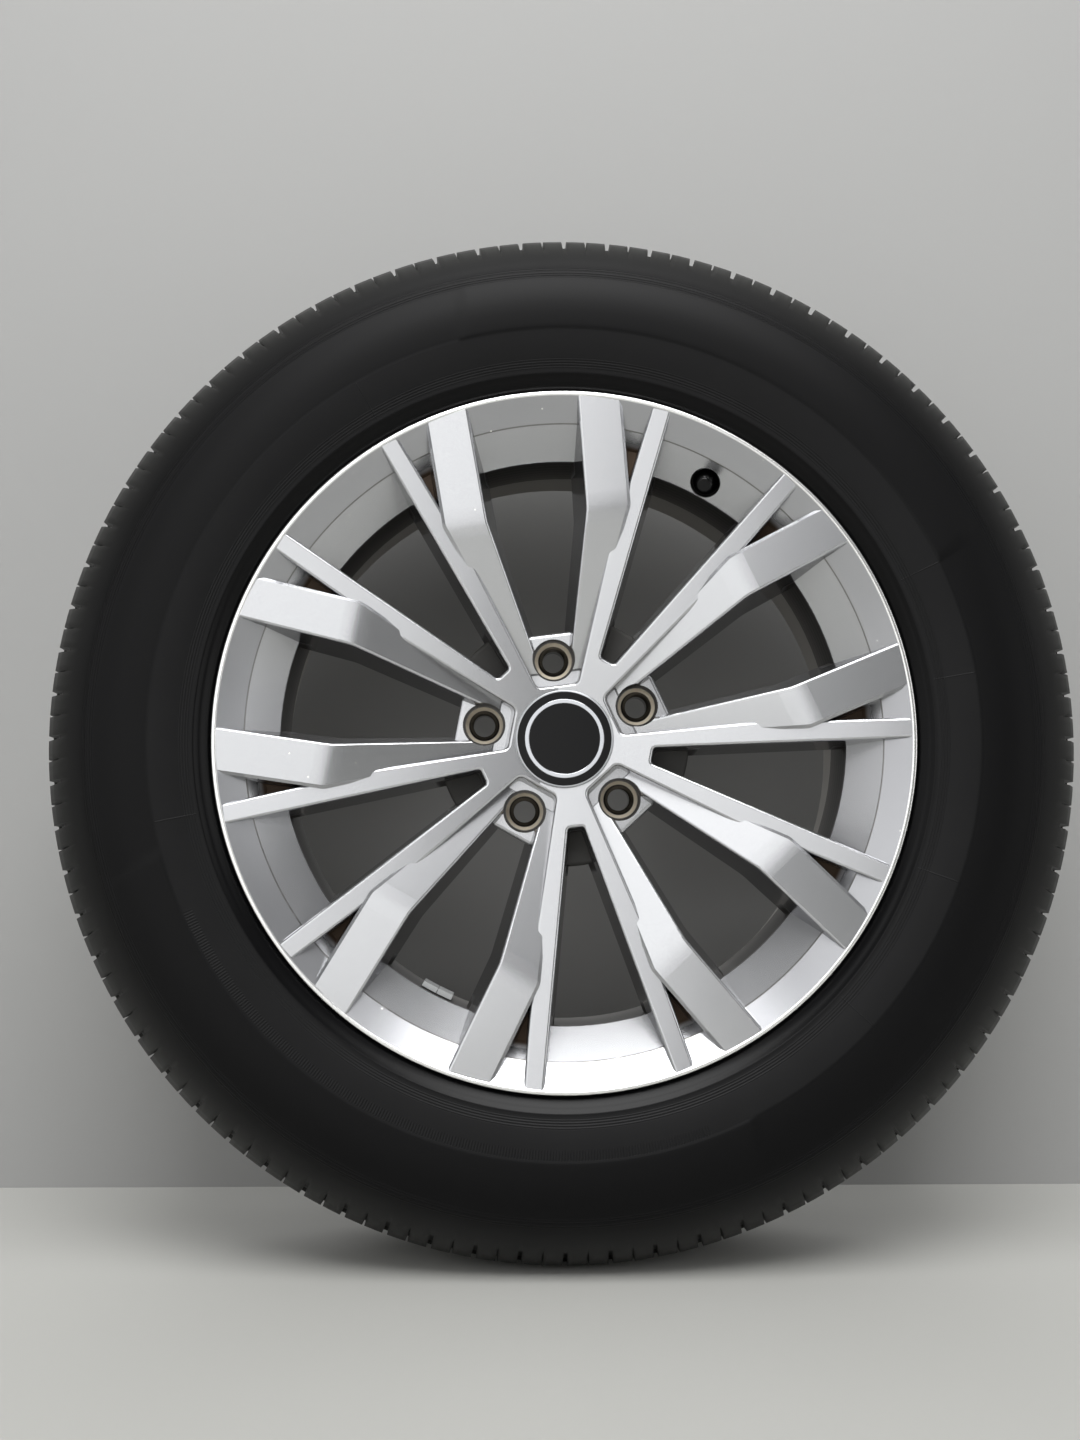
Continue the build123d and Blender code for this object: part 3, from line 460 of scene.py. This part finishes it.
def tyreRubber(s):
    # carbon-black rubber from a steel mould: near-black satin, glossier by the rim, greyer with dust at the
    # shoulder, with fine turned rings, a knurled band and thin mould lines
    material, tree, shader = startMaterial("moulded_rubber", {"Specular IOR Level": s["specular"]})
    place, radius, angle, _ = axleFrame(tree)
    degree = pi / 180
    first, last = s["tones"][0][0], s["tones"][-1][0]
    share = addNode(tree, "ShaderNodeMapRange", {
        "Value": radius, "From Min": first * mm, "From Max": last * mm})
    ramp = addNode(tree, "ShaderNodeValToRGB", {"Fac": share.outputs[0]})
    stops = ramp.color_ramp.elements
    while len(stops) < len(s["tones"]):
        stops.new(0.5)
    for stop, (start, tone) in zip(stops, s["tones"]):
        stop.position = (start - first) / (last - first)
        stop.color = toLinear(tone)
    cloud = addNode(tree, "ShaderNodeTexNoise", {
        "Vector": place, "Scale": 1 / (s["cloud"] * mm), "Detail": 4.0}).outputs["Fac"]
    dusty, _ = layer(tree, *s["dust"], cloud)
    tone = addNode(tree, "ShaderNodeMix", {0: 1.0, 6: ramp.outputs["Color"], 7: dusty}, data_type="RGBA",
                   blend_type="MULTIPLY").outputs[2]
    panel = addNode(tree, "ShaderNodeAttribute", attribute_name="panel").outputs["Fac"]
    finished, _ = layer(tree, tone, toLinear(s["panel"]), panel)
    tree.links.new(finished, shader.inputs["Base Color"])
    gloss = between(tree, radius, *s["glossRadii"])
    dullest, glossiest = s["roughness"]
    rough = addNode(tree, "ShaderNodeMapRange", {"Value": gloss, "To Min": dullest, "To Max": glossiest})
    tree.links.new(rough.outputs[0], shader.inputs["Roughness"])
    grain = addNode(tree, "ShaderNodeTexNoise", {
        "Vector": place, "Scale": 1 / (s["grain"] * mm), "Detail": 2.0}).outputs["Fac"]
    height = addNode(tree, "ShaderNodeMath", {0: grain, 1: s["grainHeight"]}, operation="MULTIPLY").outputs[0]
    wave = addNode(tree, "ShaderNodeMath", {
        0: radius, 1: 2 * pi / (s["ringPitch"] * mm)}, operation="MULTIPLY").outputs[0]
    ring = addNode(tree, "ShaderNodeMath", {0: wave}, operation="SINE").outputs[0]
    for ringBand in s["ringBands"]:
        band = between(tree, radius, *ringBand)
        height = addNode(tree, "ShaderNodeMath", {
            0: ring, 1: band, 2: height}, operation="MULTIPLY_ADD").outputs[0]
    knurl = s["knurl"]
    tooth = addNode(tree, "ShaderNodeMath", {0: angle, 1: knurl["count"]}, operation="MULTIPLY").outputs[0]
    tooth = addNode(tree, "ShaderNodeMath", {0: tooth}, operation="SINE").outputs[0]
    field = addNode(tree, "ShaderNodeMath", {
        0: between(tree, radius, *knurl["radii"]),
        1: between(tree, angle, *knurl["turns"], degree)}, operation="MULTIPLY").outputs[0]
    height = addNode(tree, "ShaderNodeMath", {
        0: tooth, 1: field, 2: height}, operation="MULTIPLY_ADD").outputs[0]
    mouldLine = s["mouldLine"]
    halfTurn = np.degrees(mouldLine["half"] / mouldLine["middle"])
    for turn in mouldLine["turns"]:
        line = addNode(tree, "ShaderNodeMath", {
            0: between(tree, radius, *mouldLine["radii"]),
            1: between(tree, angle, turn - halfTurn, turn + halfTurn, halfTurn / 2, degree),
        }, operation="MULTIPLY").outputs[0]
        height = addNode(tree, "ShaderNodeMath", {
            0: line, 1: mouldLine["height"], 2: height}, operation="MULTIPLY_ADD").outputs[0]
    bump = addNode(tree, "ShaderNodeBump", {
        "Height": height, "Strength": s["bump"], "Distance": s["bumpHeight"] * mm})
    tree.links.new(bump.outputs[0], shader.inputs["Normal"])
    return material


# The plain finishes: material, colour, surface, grit in mm and strength of the grain
finishSet = {
    # lacquered plastic, a soft silver sheen
    "cap_silver": ("silver_cap_lacquer", "#B9BBBE", {"Metallic": 0.8, "Roughness": 0.3}, 0.8, 0.03),
    # polished acrylic, deep black with a faint clear reflection
    "cap_black": ("gloss_black_acrylic", "#050506",
                  {"Roughness": 0.16, "Specular IOR Level": 0.2}, 3.0, 0.01),
    # plated plastic, which mirrors the room
    "cap_chrome": ("bright_chrome", "#BFC1C5", {"Metallic": 1.0, "Roughness": 0.1}, 2.0, 0.02),
    # drawn wire, grey with a blurred shine
    "spring_steel": ("drawn_steel_wire", "#8C8D8F", {"Metallic": 1.0, "Roughness": 0.35}, 0.4, 0.1),
    # moulded rubber, black and half glossy
    "valve_rubber": ("smooth_black_rubber", "#0B0B0C", {"Roughness": 0.3}, 1.0, 0.05),
    # turned brass, warm yellow with fine marks
    "valve_brass": ("turned_brass", "#C39A4C", {"Metallic": 1.0, "Roughness": 0.3}, 0.3, 0.1),
    # moulded seals, dull dark red
    "seal_rubber": ("red_seal_rubber", "#3C1512", {"Roughness": 0.6}, 0.6, 0.1),
    # moulded nylon, black with small clear highlights
    "valve_cap_black": ("moulded_black_nylon", "#040405",
                        {"Roughness": 0.1, "Specular IOR Level": 0.25}, 0.8, 0.03),
    # zinc coat on steel, pale grey and a little uneven
    "weight_zinc": ("zinc_coated_steel", "#B8BABB", {"Metallic": 0.9, "Roughness": 0.4}, 1.5, 0.1),
    # foam tape, flat black with an open grain
    "tape_foam": ("black_foam_tape", "#151515", {"Roughness": 0.9}, 0.5, 0.4),
}
grainHeight = 0.1            # mm


def plainFinish(name, hexText, surface, grit, strength):
    # one colour, with a fine grain of the given grit
    material, tree, shader = startMaterial(name, {"Base Color": toLinear(hexText), **surface})
    place = addNode(tree, "ShaderNodeTexCoord").outputs["Object"]
    grain = addNode(tree, "ShaderNodeTexNoise", {"Vector": place, "Scale": 1 / (grit * mm), "Detail": 2.0})
    bump = addNode(tree, "ShaderNodeBump", {
        "Height": grain.outputs["Fac"], "Strength": strength, "Distance": grainHeight * mm})
    tree.links.new(bump.outputs[0], shader.inputs["Normal"])
    return material


finishes = {slotName: plainFinish(*look) for slotName, look in finishSet.items()}
finishes["silver_alloy"] = silverLacquer(wheelSet)
finishes["tyre_rubber"] = tyreRubber(rubberSet)


def dress(piece, slotName):
    piece.data.materials.clear()
    piece.data.materials.append(finishes[slotName])


slotOf = {entry["node"]: entry["material_slot"] for entry in frame["record"]["subparts"]}
dress(tyre, "tyre_rubber")
dress(lip, "silver_alloy")
dress(spring, "spring_steel")
for nodeName, node in frame["nodes"].items():
    if nodeName not in ("tyre", "valve_core_spring"):
        for place in range(len(node.material_slots)):
            node.material_slots[place].material = finishes[slotOf[nodeName]]
print("finishes:", len(finishes))


# Stage: a pale floor and a pale wall close behind. The wall can't be seen from its back and throws no shadow,
# so the views from behind stay open
stageSet = {
    "floor": tyreLow.z, "wall": 0.18, "reach": 4.0,
    "colours": {"floor": "#B8B8B4", "wall": "#A3A3A2"}, "roughness": 0.7, "specular": 0.2,
}


def stageSheet(name, corners, seeThrough):
    mesh = bpy.data.meshes.new(name)
    mesh.from_pydata(corners, [], [(0, 1, 2, 3)])
    piece = bpy.data.objects.new(name, mesh)
    bpy.context.scene.collection.objects.link(piece)
    material, tree, shader = startMaterial(name + "_paint", {
        "Base Color": toLinear(stageSet["colours"][name]),
        "Roughness": stageSet["roughness"], "Specular IOR Level": stageSet["specular"]})
    if seeThrough:
        back = addNode(tree, "ShaderNodeNewGeometry").outputs["Backfacing"]
        clear = addNode(tree, "ShaderNodeBsdfTransparent")
        sided = addNode(tree, "ShaderNodeMixShader", {0: back, 1: shader.outputs[0], 2: clear.outputs[0]})
        tree.links.new(sided.outputs[0], tree.nodes["Material Output"].inputs["Surface"])
    mesh.materials.append(material)
    return piece


reach, wallY, floorZ = stageSet["reach"], stageSet["wall"], stageSet["floor"]
stageSheet("floor", [(-reach, -reach, floorZ), (reach, -reach, floorZ),
                     (reach, reach, floorZ), (-reach, reach, floorZ)], False)
wall = stageSheet("wall", [(-reach, wallY, floorZ), (reach, wallY, floorZ),
                           (reach, wallY, reach), (-reach, wallY, reach)], True)
wall.visible_shadow = False
print("stage ready")


# Soft studio light: a bright ceiling, a broad light from the front left, weak ones at both sides, one for the
# floor in front and one behind, in a room that is darker below. Sizes and places in metres
lightSet = {
    "ceiling": {"place": (0.0, -1.3, 1.8), "aim": (0.0, -0.2, 0.0), "size": 1.5, "power": 46.0},
    "foreground": {"place": (0.0, -2.3, 2.1), "aim": (0.0, -2.1, 0.0), "size": 1.6, "power": 9.0},
    "front": {"place": (-0.95, -2.85, 0.45), "aim": (0.0, 0.0, 0.0), "size": 2.7, "power": 31.0},
    "left": {"place": (-2.2, -1.3, 0.3), "aim": (0.0, 0.0, 0.0), "size": 1.4, "power": 6.0},
    "right": {"place": (2.2, -1.3, 0.3), "aim": (0.0, 0.0, 0.0), "size": 1.4, "power": 9.0},
    "rear": {"place": (0.0, 2.6, 1.4), "aim": (0.0, 0.0, 0.0), "size": 2.0, "power": 30.0},
}
for name, item in lightSet.items():
    lamp = bpy.data.lights.new(name, "AREA")
    lamp.shape = "SQUARE"
    lamp.size = item["size"]
    lamp.energy = item["power"]
    holder = bpy.data.objects.new(name, lamp)
    holder.location = item["place"]
    holder.rotation_euler = (Vector(item["aim"]) - Vector(item["place"])).to_track_quat("-Z", "Y").to_euler()
    bpy.context.scene.collection.objects.link(holder)

# the room's tones from straight down to straight up
roomSet = {
    "strength": 0.35,
    "tones": ((0.0, "#1E1E1E"), (0.48, "#505050"), (0.56, "#9A9A9A"), (0.75, "#D2D2D2"), (1.0, "#FFFFFF")),
}
world = bpy.data.worlds.new("studio")
bpy.context.scene.world = world
world.use_nodes = True
tree = world.node_tree
direction = addNode(tree, "ShaderNodeTexCoord").outputs["Generated"]
height = addNode(tree, "ShaderNodeSeparateXYZ", {0: direction}).outputs["Z"]
share = addNode(tree, "ShaderNodeMapRange", {"Value": height, "From Min": -1.0, "From Max": 1.0}).outputs[0]
ramp = addNode(tree, "ShaderNodeValToRGB", {"Fac": share})
stops = ramp.color_ramp.elements
while len(stops) < len(roomSet["tones"]):
    stops.new(0.5)
for stop, (position, tone) in zip(stops, roomSet["tones"]):
    stop.position = position
    stop.color = toLinear(tone)
tree.links.new(ramp.outputs["Color"], tree.nodes["Background"].inputs["Color"])
tree.nodes["Background"].inputs["Strength"].default_value = roomSet["strength"]
bpy.context.scene.view_settings.view_transform = "Standard"
print("lights ready")


# Camera at the photograph's place: about a metre in front, a little below the axle
cameraSet = {"place": (-0.033, -1.098, -0.071), "aim": (-0.017, -0.101, 0.011), "lens": 37.5, "sensor": 36.0}
lens = bpy.data.cameras.new("camera")
lens.lens = cameraSet["lens"]
lens.sensor_width = cameraSet["sensor"]
camera = bpy.data.objects.new("camera", lens)
camera.location = cameraSet["place"]
look = Vector(cameraSet["aim"]) - Vector(cameraSet["place"])
camera.rotation_euler = look.to_track_quat("-Z", "Y").to_euler()
bpy.context.scene.collection.objects.link(camera)
bpy.context.scene.camera = camera
print("camera ready")
